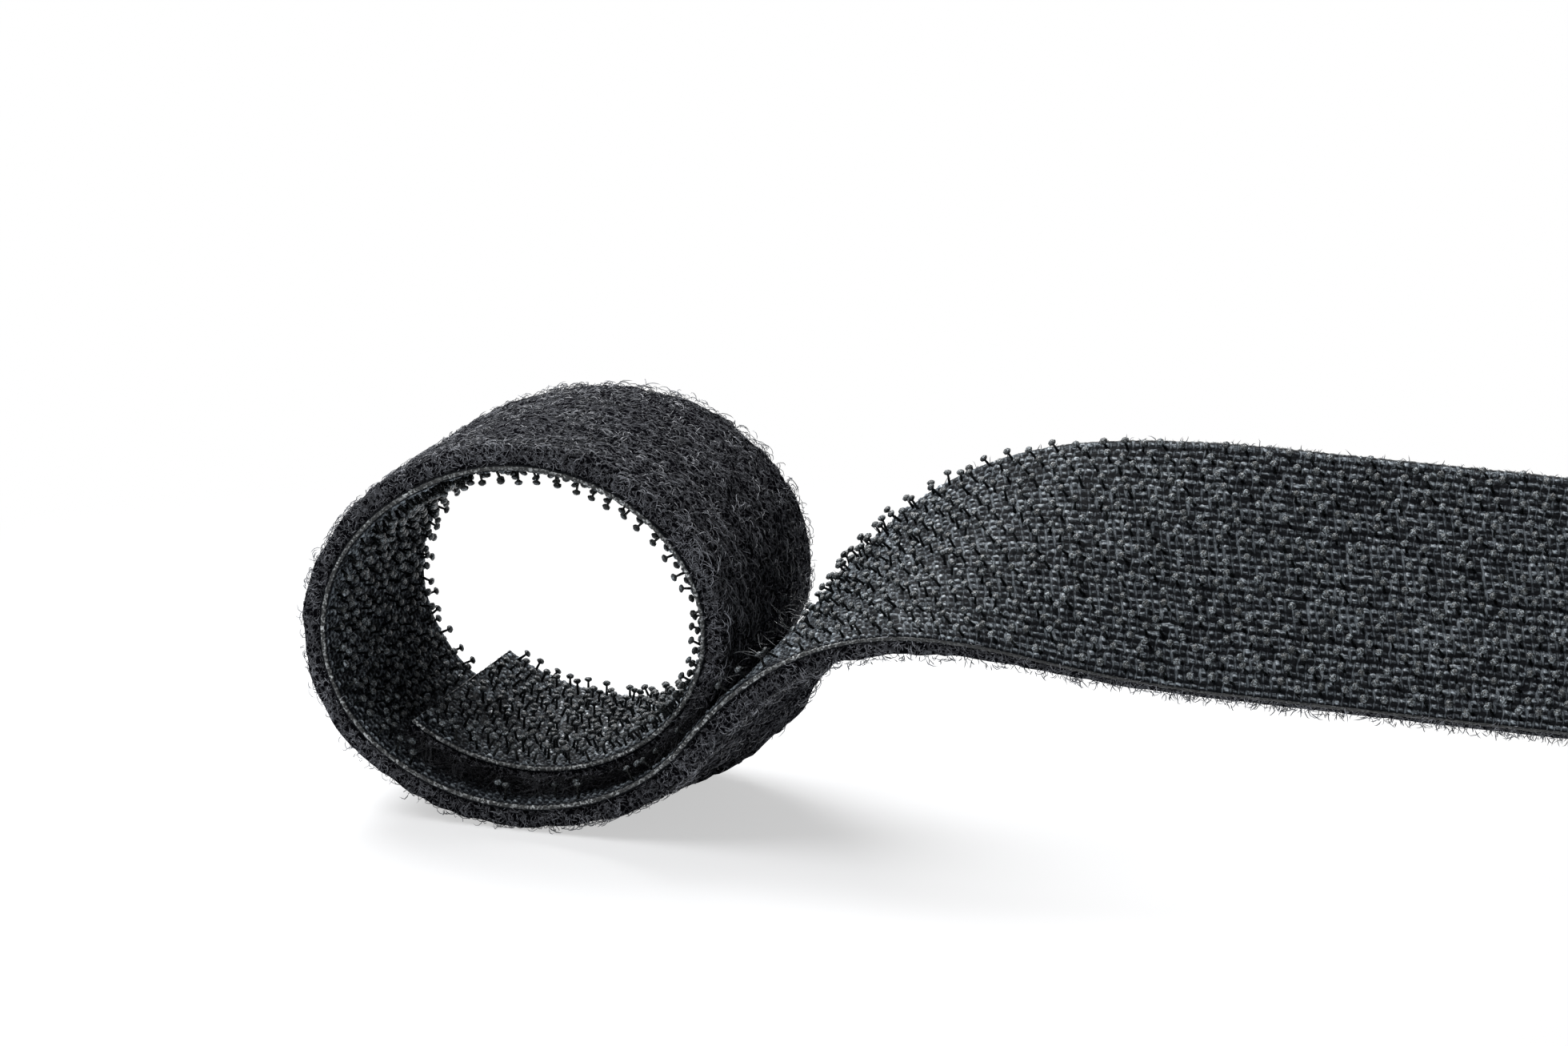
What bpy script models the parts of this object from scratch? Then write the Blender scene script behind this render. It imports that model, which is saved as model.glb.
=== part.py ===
"""Hook and loop cable tie, closed round a bundle and standing on a table.

The strap is two tapes bonded back to back: a tape of soft loops outside, and a woven tape of small
mushroom hooks inside. It goes once and a quarter round the bundle, where the hooks hold in the loops
under them, and its free end stands off, twists, levels out and comes down to the table.

Metres, +Z up. The origin is on the table under the middle of the ring. The ring's axis is along Y,
and the free end runs towards +X.
"""

import math

import bmesh
import bpy
import numpy as np

MM = 0.001

# The strap. The loops stand full where they are free and are pressed flatter under the second turn.
TAPE_WIDTH = 12.5 * MM
TAPE_LENGTH = 175.0 * MM
HOOK_TAPE_THICKNESS = 0.35 * MM
LOOP_TAPE_THICKNESS = 1.12 * MM
PRESSED_LOOP_THICKNESS = 0.90 * MM
BOND_GAP = 0.05 * MM
SEAT_GAP = 0.10 * MM
TABLE_PRESS = 0.12 * MM

# The ring. Angles are in degrees from +X towards +Z. The second turn climbs over the strap's start.
RING_HALF_WIDTH = 9.3 * MM
RING_HALF_HEIGHT = 7.7 * MM
START_ANGLE = -130.0
CLIMB_ANGLE = 120.0
LIFT_ANGLE = 327.0
TURN_SIDESTEP = 1.8 * MM

# The free end. Pitch is its slope, and twist lifts its far edge.
RISE_LENGTH = 22.9 * MM
LEVEL_LENGTH = 20.0 * MM
DIP_LENGTH = 16.0 * MM
LANDING_LENGTH = 16.0 * MM
LEVEL_PITCH = -0.8
RAMP_PITCH = -38.0
TWIST_ANGLE = 52.5
TWIST_LENGTH = 29.3 * MM
UNTWIST_LENGTH = 30.0 * MM

# The pile of loops
TUFT_HEIGHT = 0.10 * MM
EDGE_THINNING = 0.30

# The hooks, each a stem that flares into a domed head. The lean is sideways for each unit of rise.
HOOK_HEIGHT = 0.75 * MM
HOOK_STEM_RADIUS = 0.13 * MM
HOOK_HEAD_RADIUS = 0.26 * MM
HOOK_FLARE = 0.12 * MM
HOOK_DOME = 0.16 * MM
HOOK_LEAN = 0.22
HOOK_SCATTER = 0.20 * MM
HOOK_LIFT_CLEARANCE = 8.0 * MM

# How finely the strap is divided
RING_STEP_ANGLE = 9.0
FREE_STEP = 1.6 * MM
COLUMNS = 5
SEED = 7

WRAP_PITCH = BOND_GAP + HOOK_TAPE_THICKNESS + PRESSED_LOOP_THICKNESS + SEAT_GAP
RESTING_BOND_HEIGHT = BOND_GAP / 2 + LOOP_TAPE_THICKNESS - TABLE_PRESS
RING_CENTRE_HEIGHT = RESTING_BOND_HEIGHT + WRAP_PITCH + RING_HALF_HEIGHT
SECOND_TURN_ANGLE = START_ANGLE + 360.0


def ease(share):
    """0 to 1, with no slope at either end."""
    share = np.clip(share, 0.0, 1.0)
    return share * share * (3.0 - 2.0 * share)


def follow(distance, marks):
    """The value at each distance, easing from one (distance, value) mark to the next."""
    value = np.full(np.shape(distance), marks[0][1])
    for (start, low), (end, high) in zip(marks, marks[1:]):
        value = value + (high - low) * ease((distance - start) / (end - start))
    return value


def unit(vectors):
    return vectors / np.linalg.norm(vectors, axis=-1, keepdims=True)


def ring_point(angle):
    """A point of the bond between the tapes, midway across the strap, at each angle round the ring."""
    climb = WRAP_PITCH * ease((angle - CLIMB_ANGLE) / (SECOND_TURN_ANGLE - CLIMB_ANGLE))
    side = 0.5 - ease((angle - CLIMB_ANGLE / 2) / (SECOND_TURN_ANGLE - CLIMB_ANGLE / 2))
    turn = np.radians(angle)
    x = (RING_HALF_WIDTH + climb) * np.cos(turn)
    z = RING_CENTRE_HEIGHT + (RING_HALF_HEIGHT + climb) * np.sin(turn)
    return np.stack([x, TURN_SIDESTEP * side, z], axis=-1)


def ring_direction(angle):
    """The strap's direction at each angle round the ring."""
    small = 0.05
    return unit(ring_point(angle + small) - ring_point(angle - small))


def ring_length():
    angles = np.linspace(START_ANGLE, LIFT_ANGLE, 2000)
    return np.linalg.norm(np.diff(ring_point(angles), axis=0), axis=1).sum()


def fall_in_bend(length, first_pitch, last_pitch):
    """Height lost along a stretch whose pitch eases from one value to the other."""
    share = np.linspace(0.0, 1.0, 201)
    pitch = np.radians(first_pitch + (last_pitch - first_pitch) * ease(share))
    return -length * np.mean(np.sin(pitch))


def free_end(distance):
    """Place, direction and width direction of the strap at each distance past the ring."""
    start = ring_point(np.array(LIFT_ANGLE))
    lift = ring_direction(np.array(LIFT_ANGLE))
    lift_pitch = math.degrees(math.atan2(lift[2], lift[0]))
    level_height = start[2] - fall_in_bend(RISE_LENGTH, lift_pitch, LEVEL_PITCH)
    level_height += LEVEL_LENGTH * math.sin(math.radians(LEVEL_PITCH))
    bends = fall_in_bend(DIP_LENGTH, LEVEL_PITCH, RAMP_PITCH)
    bends += fall_in_bend(LANDING_LENGTH, RAMP_PITCH, 0.0)
    left_to_fall = level_height - RESTING_BOND_HEIGHT - bends
    ramp_length = left_to_fall / -math.sin(math.radians(RAMP_PITCH))

    level_end = RISE_LENGTH + LEVEL_LENGTH
    dip_end = level_end + DIP_LENGTH
    ramp_end = dip_end + ramp_length
    pitch_marks = [(0.0, lift_pitch), (RISE_LENGTH, LEVEL_PITCH), (level_end, LEVEL_PITCH)]
    pitch_marks += [(dip_end, RAMP_PITCH), (ramp_end, RAMP_PITCH), (ramp_end + LANDING_LENGTH, 0.0)]
    twist_marks = [(0.0, 0.0), (TWIST_LENGTH, TWIST_ANGLE), (level_end, TWIST_ANGLE)]
    twist_marks += [(level_end + UNTWIST_LENGTH, 0.0)]

    fine = np.linspace(0.0, distance.max(), 4000)
    pitch = np.radians(follow(fine, pitch_marks))
    direction = np.stack([np.cos(pitch), np.zeros_like(pitch), np.sin(pitch)], axis=-1)
    steps = (direction[1:] + direction[:-1]) / 2 * np.diff(fine)[:, None]
    travelled = np.concatenate([np.zeros((1, 3)), np.cumsum(steps, axis=0)])
    place = start + np.stack([np.interp(distance, fine, travelled[:, i]) for i in range(3)], axis=-1)

    pitch = np.radians(follow(distance, pitch_marks))
    twist = np.radians(follow(distance, twist_marks))[:, None]
    direction = np.stack([np.cos(pitch), np.zeros_like(pitch), np.sin(pitch)], axis=-1)
    level = np.broadcast_to([0.0, 1.0, 0.0], direction.shape)
    width = level * np.cos(twist) + np.cross(direction, level) * np.sin(twist)
    return place, direction, width


def strap_stations():
    """The strap from its hidden start to its cut end, as one cross-section frame for each station.

    place is on the bond, width runs across the strap, out points to the loop side, and thickness is
    that of the loop tape. free is the distance past the ring, or minus one on the ring.
    """
    angles = np.arange(START_ANGLE, LIFT_ANGLE - RING_STEP_ANGLE / 2, RING_STEP_ANGLE)
    ring_width = np.broadcast_to([0.0, 1.0, 0.0], (len(angles), 3))
    free_length = TAPE_LENGTH - ring_length()
    free = np.linspace(0.0, free_length, round(free_length / FREE_STEP) + 1)
    place, direction, width = free_end(free)
    place = np.concatenate([ring_point(angles), place])
    direction = np.concatenate([ring_direction(angles), direction])
    width = np.concatenate([ring_width, width])
    angles = np.concatenate([angles, np.full(len(free), LIFT_ANGLE)])
    free = np.concatenate([np.full(len(ring_width), -1.0), free])

    lift_off = LIFT_ANGLE - 360.0
    fullness = ease((angles - lift_off - RING_STEP_ANGLE) / (3.0 * RING_STEP_ANGLE))
    thickness = PRESSED_LOOP_THICKNESS + (LOOP_TAPE_THICKNESS - PRESSED_LOOP_THICKNESS) * fullness
    out = unit(np.cross(width, direction))
    return {
        "place": place,
        "width": width,
        "out": out,
        "thickness": thickness,
        "fullness": fullness,
        "angle": angles,
        "free": free,
    }


def section_points(strap, across, height):
    """Points of every station at shares across the width (-1 to 1) and heights above the bond."""
    sideways = (np.asarray(across) * TAPE_WIDTH / 2)[None, :, None] * strap["width"][:, None]
    upward = np.broadcast_to(height, (len(strap["place"]), len(across)))[..., None]
    return strap["place"][:, None] + sideways + upward * strap["out"][:, None]


def loft(points, across):
    """A closed body through the stations' outlines, with the quads of each outline edge.

    Each quad starts at its lower corner across the strap, so that both tapes split alike.
    """
    body = bmesh.new()
    rows = [[body.verts.new(point) for point in row] for row in points]
    sides = len(across)
    quads = {}
    for i in range(len(rows) - 1):
        for j in range(sides):
            k = (j + 1) % sides
            corners = [rows[i][j], rows[i][k], rows[i + 1][k], rows[i + 1][j]]
            if across[k] < across[j]:
                corners = corners[1:] + corners[:1]
            quads[i, j] = body.faces.new(corners)
    body.faces.new(rows[0])
    body.faces.new(rows[-1])
    return body, quads


def finish(body, name, material):
    """Splits every face the same way, turns the faces outwards and makes the object."""
    bmesh.ops.triangulate(body, faces=body.faces[:], quad_method="FIXED", ngon_method="EAR_CLIP")
    bmesh.ops.recalc_face_normals(body, faces=body.faces[:])
    mesh = bpy.data.meshes.new(name)
    body.to_mesh(mesh)
    body.free()
    mesh.materials.append(material)
    mesh.shade_smooth()
    mesh.set_sharp_from_angle(angle=math.radians(50))
    made = bpy.data.objects.new(name, mesh)
    bpy.context.collection.objects.link(made)
    return made


def loop_tape(strap, material):
    """The pile tape: flat where it is bonded, tufted outside and thinner towards its cut edges."""
    bonded = np.linspace(-1.0, 1.0, COLUMNS + 1)
    tufted = np.concatenate([[1.0, 0.9], bonded[-2:0:-1], [-0.9, -1.0]])
    stations = len(strap["place"])
    tufts = np.random.default_rng(SEED).uniform(-1.0, 1.0, (stations, len(tufted)))
    tufts *= TUFT_HEIGHT * strap["fullness"][:, None]
    thinning = 1.0 - EDGE_THINNING * np.abs(tufted) ** 8
    height = strap["thickness"][:, None] * thinning + tufts + BOND_GAP / 2
    inside = section_points(strap, bonded, BOND_GAP / 2)
    outside = section_points(strap, tufted, height)
    outside[..., 2] = np.maximum(outside[..., 2], 0.0)
    points = np.concatenate([inside, outside], axis=1)
    body, quads = loft(points, np.concatenate([bonded, tufted]))
    return finish(body, "loop_tape", material)


def hook_cells(strap):
    """Stations and columns whose cells carry a hook, in a staggered pattern.

    No hook stands where the loops under the second turn bury it, up to where the free end is clear.
    """
    free = strap["free"][:-1]
    buried = (strap["angle"][:-1] > SECOND_TURN_ANGLE - RING_STEP_ANGLE) & (free < HOOK_LIFT_CLEARANCE)
    station, column = np.nonzero(~buried[:, None] & np.ones((1, COLUMNS), bool))
    staggered = (station + column) % 2 == 0
    return list(zip(station[staggered], column[staggered]))


def square_up(face, centre, along, across, radius):
    """Moves a four-sided face's corners to those of a square round a point."""
    middle = np.array(face.calc_center_median())
    for corner in face.verts:
        away = np.array(corner.co) - middle
        way = np.sign(away @ along) * along + np.sign(away @ across) * across
        corner.co = centre + way * radius / math.sqrt(2.0)


def grow_hook(body, cell, up, along, across, chance):
    """Raises a stem with a flared, domed head out of one cell of the ground.

    chance holds four numbers from -1 to 1: two move the foot, and two lean the stem.
    """
    foot = np.array(cell.calc_center_median())
    foot += HOOK_SCATTER * (chance[0] * along + chance[1] * across)
    rise = up + (chance[2] * along + chance[3] * across) * HOOK_LEAN
    brim_height = HOOK_HEIGHT - HOOK_DOME
    neck_height = brim_height - HOOK_FLARE
    bmesh.ops.inset_individual(body, faces=[cell], thickness=HOOK_STEM_RADIUS)
    square_up(cell, foot, along, across, HOOK_STEM_RADIUS)
    for height, radius in ((neck_height, HOOK_STEM_RADIUS), (brim_height, HOOK_HEAD_RADIUS)):
        cell = bmesh.ops.extrude_discrete_faces(body, faces=[cell])["faces"][0]
        square_up(cell, foot + rise * height, along, across, radius)
    crown = bmesh.ops.poke(body, faces=[cell])["verts"][0]
    crown.co = foot + rise * HOOK_HEIGHT


def hook_tape(strap, material):
    """The woven ground, with mushroom hooks standing out of its free side."""
    bonded = np.linspace(1.0, -1.0, COLUMNS + 1)
    hooked = bonded[::-1]
    inside = section_points(strap, bonded, -BOND_GAP / 2)
    outside = section_points(strap, hooked, -BOND_GAP / 2 - HOOK_TAPE_THICKNESS)
    body, quads = loft(np.concatenate([inside, outside], axis=1), np.concatenate([bonded, hooked]))
    chances = np.random.default_rng(SEED + 1).uniform(-1.0, 1.0, (len(inside), COLUMNS, 4))
    for station, column in hook_cells(strap):
        across = strap["width"][station]
        up = -strap["out"][station]
        cell = quads[station, len(bonded) + column]
        grow_hook(body, cell, up, np.cross(across, up), across, chances[station, column])
    return finish(body, "hook_tape", material)


def plain_material(name, color, roughness):
    material = bpy.data.materials.new(name)
    material.use_nodes = True
    shader = material.node_tree.nodes["Principled BSDF"]
    shader.inputs["Base Color"].default_value = (*color, 1.0)
    shader.inputs["Roughness"].default_value = roughness
    shader.inputs["Metallic"].default_value = 0.0
    return material


def main():
    for old in list(bpy.data.objects):
        bpy.data.objects.remove(old)
    strap = strap_stations()
    loop_tape(strap, plain_material("loop_pile", (0.016, 0.018, 0.020), 0.85))
    hook_tape(strap, plain_material("hook_weave", (0.030, 0.033, 0.036), 0.55))


main()
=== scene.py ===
import math

import bpy
import numpy as np
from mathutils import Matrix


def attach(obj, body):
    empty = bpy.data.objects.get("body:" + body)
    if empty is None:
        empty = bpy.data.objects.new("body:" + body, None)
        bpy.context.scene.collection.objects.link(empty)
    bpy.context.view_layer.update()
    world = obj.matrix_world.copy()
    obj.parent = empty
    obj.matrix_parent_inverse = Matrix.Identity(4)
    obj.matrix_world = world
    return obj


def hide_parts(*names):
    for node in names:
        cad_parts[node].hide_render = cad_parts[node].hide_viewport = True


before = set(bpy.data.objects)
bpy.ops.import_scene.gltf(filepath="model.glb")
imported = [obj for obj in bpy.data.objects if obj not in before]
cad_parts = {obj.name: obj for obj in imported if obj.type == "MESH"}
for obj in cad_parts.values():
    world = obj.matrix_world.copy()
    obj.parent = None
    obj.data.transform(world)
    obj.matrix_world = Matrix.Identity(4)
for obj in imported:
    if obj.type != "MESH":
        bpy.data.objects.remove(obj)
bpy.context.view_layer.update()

# The strap's course. One length of tape goes round its ring once and a quarter, lifts off, twists until
# its hooks face the camera, and comes down to the floor. Sizes are those of its solids, and angles are in
# degrees.
MM = 0.001
TAPE_WIDTH = 12.5 * MM
TAPE_LENGTH = 175.0 * MM
GROUND_THICKNESS = 0.35 * MM
LOOP_THICKNESS = 1.12 * MM
PRESSED_THICKNESS = 0.90 * MM
BOND = 0.05 * MM
SEAT_GAP = 0.10 * MM
FLOOR_PRESS = 0.12 * MM
TURN_CLIMB = BOND + GROUND_THICKNESS + PRESSED_THICKNESS + SEAT_GAP
RING_HALF_WIDTH = 9.3 * MM
RING_HALF_HEIGHT = 7.7 * MM
RESTING_HEIGHT = BOND / 2 + LOOP_THICKNESS - FLOOR_PRESS
RING_CENTRE = RESTING_HEIGHT + TURN_CLIMB + RING_HALF_HEIGHT
START_ANGLE = -130.0
CLIMB_ANGLE = 120.0
SECOND_TURN_ANGLE = START_ANGLE + 360.0
LIFT_ANGLE = 327.0
SIDESTEP = 1.8 * MM
RISE = 22.9 * MM
LEVEL = 20.0 * MM
DIP = 16.0 * MM
LANDING = 16.0 * MM
LEVEL_PITCH = -0.8
RAMP_PITCH = -38.0
TWIST = 52.5
TWIST_LENGTH = 29.3 * MM
UNTWIST_LENGTH = 30.0 * MM
COURSE_ROWS = 4000
PITCH_SAMPLES = 201


def ease(share):
    """0 to 1 with no slope at either end: three squares less two cubes."""
    share = np.clip(share, 0.0, 1.0)
    return share * share * (3.0 - 2.0 * share)


def follow(distance, marks):
    """The value at each distance, easing from one (distance, value) mark to the next."""
    value = np.full(np.shape(distance), marks[0][1])
    for (start, low), (end, high) in zip(marks, marks[1:]):
        value = value + (high - low) * ease((distance - start) / (end - start))
    return value


def unit(vectors):
    """Each vector over its own length."""
    return vectors / np.linalg.norm(vectors, axis=-1, keepdims=True)


def ring_place(angle):
    """An ellipse that grows by one turn's thickness and steps sideways while it climbs."""
    climb = TURN_CLIMB * ease((angle - CLIMB_ANGLE) / (SECOND_TURN_ANGLE - CLIMB_ANGLE))
    side = 0.5 - ease((angle - CLIMB_ANGLE / 2) / (SECOND_TURN_ANGLE - CLIMB_ANGLE / 2))
    turn = np.radians(angle)
    x = (RING_HALF_WIDTH + climb) * np.cos(turn)
    z = RING_CENTRE + (RING_HALF_HEIGHT + climb) * np.sin(turn)
    return np.stack([x, SIDESTEP * side, z], axis=-1)


def fall(length, first, last):
    """Height lost while the pitch eases from first to last: length times the mean sine."""
    pitch = first + (last - first) * ease(np.linspace(0.0, 1.0, PITCH_SAMPLES))
    return -length * np.mean(np.sin(np.radians(pitch)))


def strap_course():
    """Place, direction and width direction along the strap, with the sum of its small steps.

    The ring is the ellipse above. The free end adds up steps whose pitch eases from mark to mark, on a
    ramp just long enough to reach the floor, and its width turns about its direction by the twist.
    """
    angle = np.linspace(START_ANGLE, LIFT_ANGLE, COURSE_ROWS)
    ring = ring_place(angle)
    ring_steps = np.diff(ring, axis=0)
    ring_distance = np.concatenate([[0.0], np.cumsum(np.linalg.norm(ring_steps, axis=1))])
    lift = ring_steps[-1]
    lift_pitch = math.degrees(math.atan2(lift[2], lift[0]))

    level_height = ring[-1, 2] - fall(RISE, lift_pitch, LEVEL_PITCH) - fall(LEVEL, LEVEL_PITCH, LEVEL_PITCH)
    bends = fall(DIP, LEVEL_PITCH, RAMP_PITCH) + fall(LANDING, RAMP_PITCH, 0.0)
    ramp = (level_height - RESTING_HEIGHT - bends) / math.sin(math.radians(-RAMP_PITCH))
    ends = np.cumsum([0.0, RISE, LEVEL, DIP, ramp, LANDING])
    pitches = [lift_pitch, LEVEL_PITCH, LEVEL_PITCH, RAMP_PITCH, RAMP_PITCH, 0.0]
    twists = [(0.0, 0.0), (TWIST_LENGTH, TWIST), (ends[2], TWIST), (ends[2] + UNTWIST_LENGTH, 0.0)]

    free = np.linspace(0.0, TAPE_LENGTH - ring_distance[-1], COURSE_ROWS)
    pitch = np.radians(follow(free, list(zip(ends, pitches))))
    twist = np.radians(follow(free, twists))[:, None]
    direction = np.stack([np.cos(pitch), 0.0 * pitch, np.sin(pitch)], axis=-1)
    steps = (direction[1:] + direction[:-1]) / 2.0 * np.diff(free)[:, None]
    place = ring[-1] + np.concatenate([np.zeros((1, 3)), np.cumsum(steps, axis=0)])
    level = np.broadcast_to([0.0, 1.0, 0.0], direction.shape)
    width = level * np.cos(twist) + np.cross(direction, level) * np.sin(twist)

    ring_direction = unit(np.gradient(ring, axis=0))
    ring_width = np.broadcast_to([0.0, 1.0, 0.0], ring.shape)
    return {
        "distance": np.concatenate([ring_distance[:-1], ring_distance[-1] + free]),
        "angle": np.concatenate([angle[:-1], np.full(len(free), LIFT_ANGLE)]),
        "place": np.concatenate([ring[:-1], place]),
        "along": np.concatenate([ring_direction[:-1], direction]),
        "across": np.concatenate([ring_width[:-1], width]),
        "ring_length": ring_distance[-1],
    }


course = strap_course()
course["out"] = unit(np.cross(course["across"], course["along"]))
RING_LENGTH = course["ring_length"]


def along_course(name, distance):
    """A value of the course at each distance along the strap, by straight lines between its rows."""
    table = course[name]
    if table.ndim == 1:
        return np.interp(distance, course["distance"], table)
    return np.stack([np.interp(distance, course["distance"], table[:, i]) for i in range(3)], axis=-1)


def on_strap(distance, side, height):
    """A point at a distance along, a distance to the side and a height over the bond.

    Past either end of the tape the point goes straight on, and nothing goes below the floor.
    """
    distance = np.asarray(distance)
    past = distance - np.clip(distance, 0.0, TAPE_LENGTH)
    place = along_course("place", distance) + past[..., None] * along_course("along", distance)
    place = place + np.asarray(side)[..., None] * along_course("across", distance)
    place = place + np.asarray(height)[..., None] * along_course("out", distance)
    place[..., 2] = np.maximum(place[..., 2], 0.0)
    return place


# The stage: a plain pale floor that whitens with distance, two big soft lamps and the camera at the
# photograph's angle. None of it is part of the object.
TARGET = np.array([11.3, 0.0, 14.56]) * MM
CAMERA_DISTANCE = 0.33
CAMERA_AZIMUTH = 19.56
CAMERA_ELEVATION = 15.42
CAMERA_LENS = 157.6
SENSOR_WIDTH = 36.0
CLIP_START = 0.01
SKY_STRENGTH = 0.24

azimuth = math.radians(CAMERA_AZIMUTH)
elevation = math.radians(CAMERA_ELEVATION)
back = np.array(
    [
        math.sin(azimuth) * math.cos(elevation),
        -math.cos(azimuth) * math.cos(elevation),
        math.sin(elevation),
    ]
)
lens = bpy.data.cameras.new("camera")
lens.lens = CAMERA_LENS
lens.sensor_width = SENSOR_WIDTH
lens.clip_start = CLIP_START
camera = bpy.data.objects.new("camera", lens)
camera.location = TARGET + back * CAMERA_DISTANCE
camera.rotation_euler = (math.pi / 2 - elevation, 0.0, azimuth)
bpy.context.scene.collection.objects.link(camera)
bpy.context.scene.camera = camera


def add_lamp(name, place, size, energy):
    """A square area lamp that looks at the ring."""
    lamp = bpy.data.lights.new(name, "AREA")
    lamp.size = size
    lamp.energy = energy
    holder = bpy.data.objects.new(name, lamp)
    holder.location = place
    look = -np.array(place) / np.linalg.norm(place)
    holder.rotation_euler = (math.acos(-look[2]), 0.0, math.atan2(look[0], -look[1]) + math.pi)
    bpy.context.scene.collection.objects.link(holder)


add_lamp("key_lamp", place=(-0.40, -0.22, 0.75), size=0.6, energy=6.2)
add_lamp("back_lamp", place=(-0.36, 0.46, 0.72), size=0.6, energy=13.0)

world = bpy.data.worlds.new("studio")
bpy.context.scene.world = world
world.use_nodes = True
sky = world.node_tree.nodes["Background"]
sky.inputs["Color"].default_value = (1.0, 1.0, 1.0, 1.0)
sky.inputs["Strength"].default_value = SKY_STRENGTH
bpy.context.scene.view_settings.view_transform = "Standard"


class Wire:
    """A node's output. Sums on it add Math nodes, also where it stands behind the sign."""

    def __init__(self, tree, socket):
        self.tree = tree
        self.socket = socket

    def joined(self, operation, first, second):
        """A Math node on two values, each a number or a node's output."""
        node = self.tree.nodes.new("ShaderNodeMath")
        node.operation = operation
        for place, value in zip(node.inputs, (first, second)):
            if isinstance(value, Wire):
                self.tree.links.new(value.socket, place)
            else:
                place.default_value = value
        return Wire(self.tree, node.outputs[0])

    def __add__(self, other):
        return self.joined("ADD", self, other)

    def __sub__(self, other):
        return self.joined("SUBTRACT", self, other)

    def __mul__(self, other):
        return self.joined("MULTIPLY", self, other)

    def __pow__(self, other):
        return self.joined("POWER", self, other)

    def __rsub__(self, other):
        return self.joined("SUBTRACT", other, self)

    __radd__ = __add__
    __rmul__ = __mul__


class Finish:
    """A material with its main shader, and a method each for the nodes that it is made of."""

    def __init__(self, name, constants):
        self.material = bpy.data.materials.new(name)
        self.material.use_nodes = True
        self.tree = self.material.node_tree
        self.shader = self.tree.nodes["Principled BSDF"]
        for socket, value in constants.items():
            self.shader.inputs[socket].default_value = value

    def plug(self, place, value):
        """Links a node's output to a socket, or sets the socket to a number or a colour."""
        if isinstance(value, Wire):
            self.tree.links.new(value.socket, place)
        else:
            place.default_value = value

    def node(self, kind, settings=None, sockets=None, output=0):
        """Adds a node, gives it its settings first and then its sockets' values or links."""
        made = self.tree.nodes.new("ShaderNode" + kind)
        for setting, value in (settings or {}).items():
            setattr(made, setting, value)
        for socket, value in (sockets or {}).items():
            self.plug(made.inputs[socket], value)
        return Wire(self.tree, made.outputs[output])

    def place(self):
        """The point's own place on the piece, in metres."""
        return self.node("TexCoord", output=3)

    def noise(self, vector, scale, detail):
        """Cloudy values from 0 to 1, with about as many clouds in a unit of the vector as the scale."""
        return self.node("TexNoise", None, {"Vector": vector, "Scale": scale, "Detail": detail})

    def mix(self, share, low, high):
        """The colour low where the share is 0 and high where it is 1."""
        colours = {0: share, 6: low + (1.0,), 7: high + (1.0,)}
        return self.node("Mix", {"data_type": "RGBA"}, colours, output=2)

    def step(self, value, low, high):
        """0 below low, 1 above high, and smooth between them."""
        limits = {"Value": value, "From Min": low, "From Max": high}
        return self.node("MapRange", {"interpolation_type": "SMOOTHSTEP"}, limits)

    def raised(self, height, distance):
        """Tilts the surface as if the height, from 0 to 1, stood that far out."""
        sockets = {"Height": height, "Distance": distance, "Strength": 1.0}
        self.plug(self.shader.inputs["Normal"], self.node("Bump", None, sockets))


def add_mesh(name, points, faces, shades=None):
    """A smooth mesh at the origin from arrays of points and corners, with values kept per point."""
    points = np.reshape(points, (-1, 3))
    faces = np.asarray(faces)
    mesh = bpy.data.meshes.new(name)
    mesh.vertices.add(len(points))
    mesh.vertices.foreach_set("co", points.astype(np.float32).ravel())
    mesh.loops.add(faces.size)
    mesh.loops.foreach_set("vertex_index", faces.astype(np.int32).ravel())
    mesh.polygons.add(len(faces))
    mesh.polygons.foreach_set("loop_start", np.arange(0, faces.size, faces.shape[1], dtype=np.int32))
    for key, values in (shades or {}).items():
        kept = mesh.attributes.new(key, "FLOAT", "POINT")
        kept.data.foreach_set("value", np.ravel(values).astype(np.float32))
    mesh.update(calc_edges=True)
    mesh.shade_smooth()
    made = bpy.data.objects.new(name, mesh)
    bpy.context.scene.collection.objects.link(made)
    return made


FLOOR_HALF = 3.0
LEAST_WHITENING = 0.55
WHITE_FROM = 0.010
WHITE_TO = 0.060
corners = np.array([[-1, -1, 0], [1, -1, 0], [1, 1, 0], [-1, 1, 0]]) * FLOOR_HALF
floor = add_mesh("floor", corners, [[0, 1, 2, 3]])
pale_floor = Finish("pale_floor", {"Base Color": (0.82, 0.83, 0.85, 1.0), "Roughness": 0.55})
away = pale_floor.node("VectorMath", {"operation": "LENGTH"}, {0: pale_floor.place()}, output=1)
# The glow is for rays from the camera, off a glossy surface or through a clear one, and lights nothing.
seen = pale_floor.node("LightPath", output=0)
seen = seen + pale_floor.node("LightPath", output=3) + pale_floor.node("LightPath", output=6)
whitening = (LEAST_WHITENING + (1.0 - LEAST_WHITENING) * pale_floor.step(away, WHITE_FROM, WHITE_TO)) * seen
glow = pale_floor.node("Emission", None, {"Color": (1.0, 1.0, 1.0, 1.0), "Strength": 1.0})
surface = Wire(pale_floor.tree, pale_floor.shader.outputs[0])
faded = pale_floor.node("MixShader", None, {0: whitening, 1: surface, 2: glow})
pale_floor.plug(pale_floor.tree.nodes["Material Output"].inputs["Surface"], faded)
floor.data.materials.append(pale_floor.material)

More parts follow.
